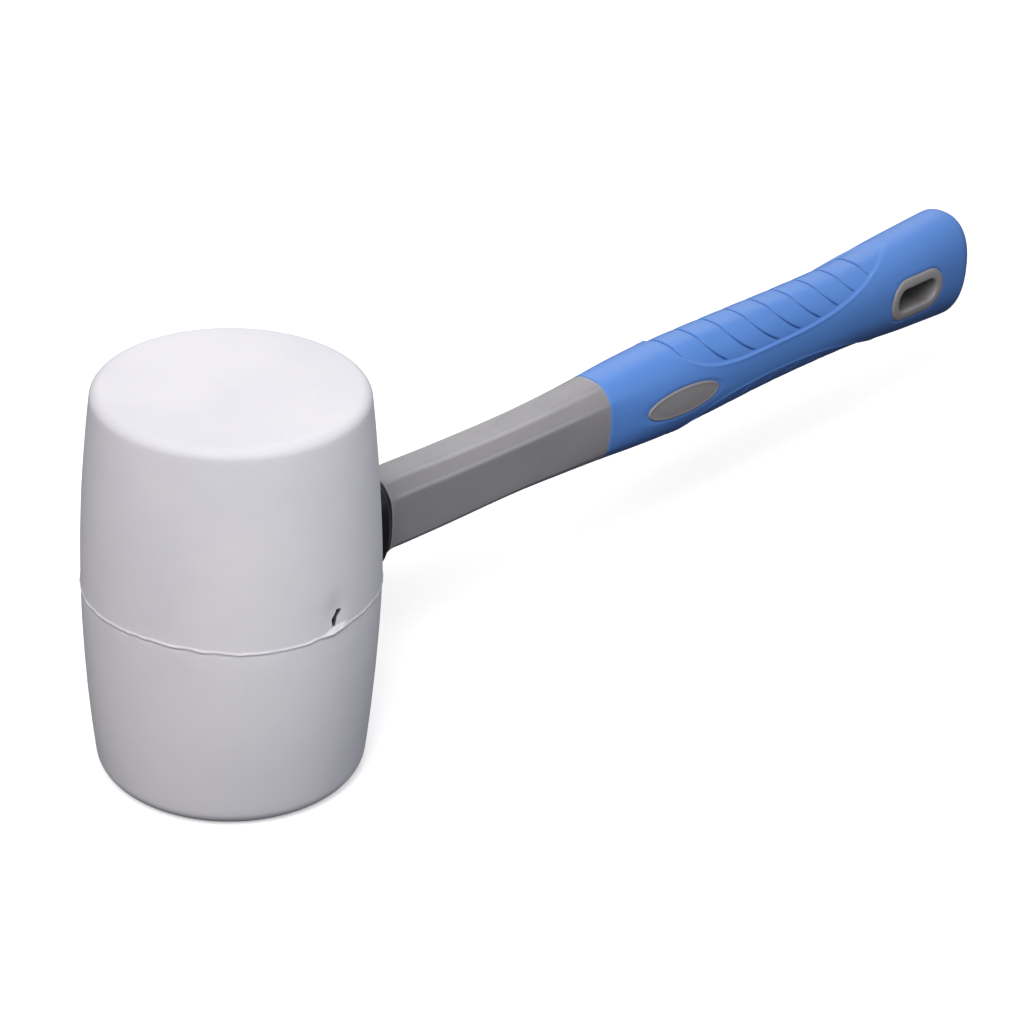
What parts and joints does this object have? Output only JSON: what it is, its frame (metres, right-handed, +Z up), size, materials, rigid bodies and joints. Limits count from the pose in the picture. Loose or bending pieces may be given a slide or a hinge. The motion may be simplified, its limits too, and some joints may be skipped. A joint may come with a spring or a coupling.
{
  "type": "rubber mallet",
  "caption": "Barrel-headed white rubber mallet on a faceted plastic handle with a flared black collar, a soft blue grip, oval side pads and a lined hang slot.",
  "frame": {"origin": "centre of the lower striking face, on which the mallet stands", "axes": "+Z up the axis of the head, through the upper striking face; +X along the handle, from the head to the butt; the handle's axis crosses the head's axis at mid-height, 60 mm up"},
  "size_m": [0.3782, 0.085, 0.12],
  "materials": {
    "white_rubber": "matte",
    "black_rubber": "satin",
    "cured_adhesive": "satin",
    "fibreglass": "satin",
    "grey_plastic": "satin",
    "blue_grip": "matte",
    "pin_steel": "satin"
  },
  "bodies": {
    "root": {"rubber_head": "white_rubber", "eye_collar": "black_rubber", "eye_adhesive": "cured_adhesive", "core_rod": "fibreglass", "handle_jacket": "grey_plastic", "soft_grip": "blue_grip", "cross_pin": "pin_steel"}
  },
  "joints": []
}
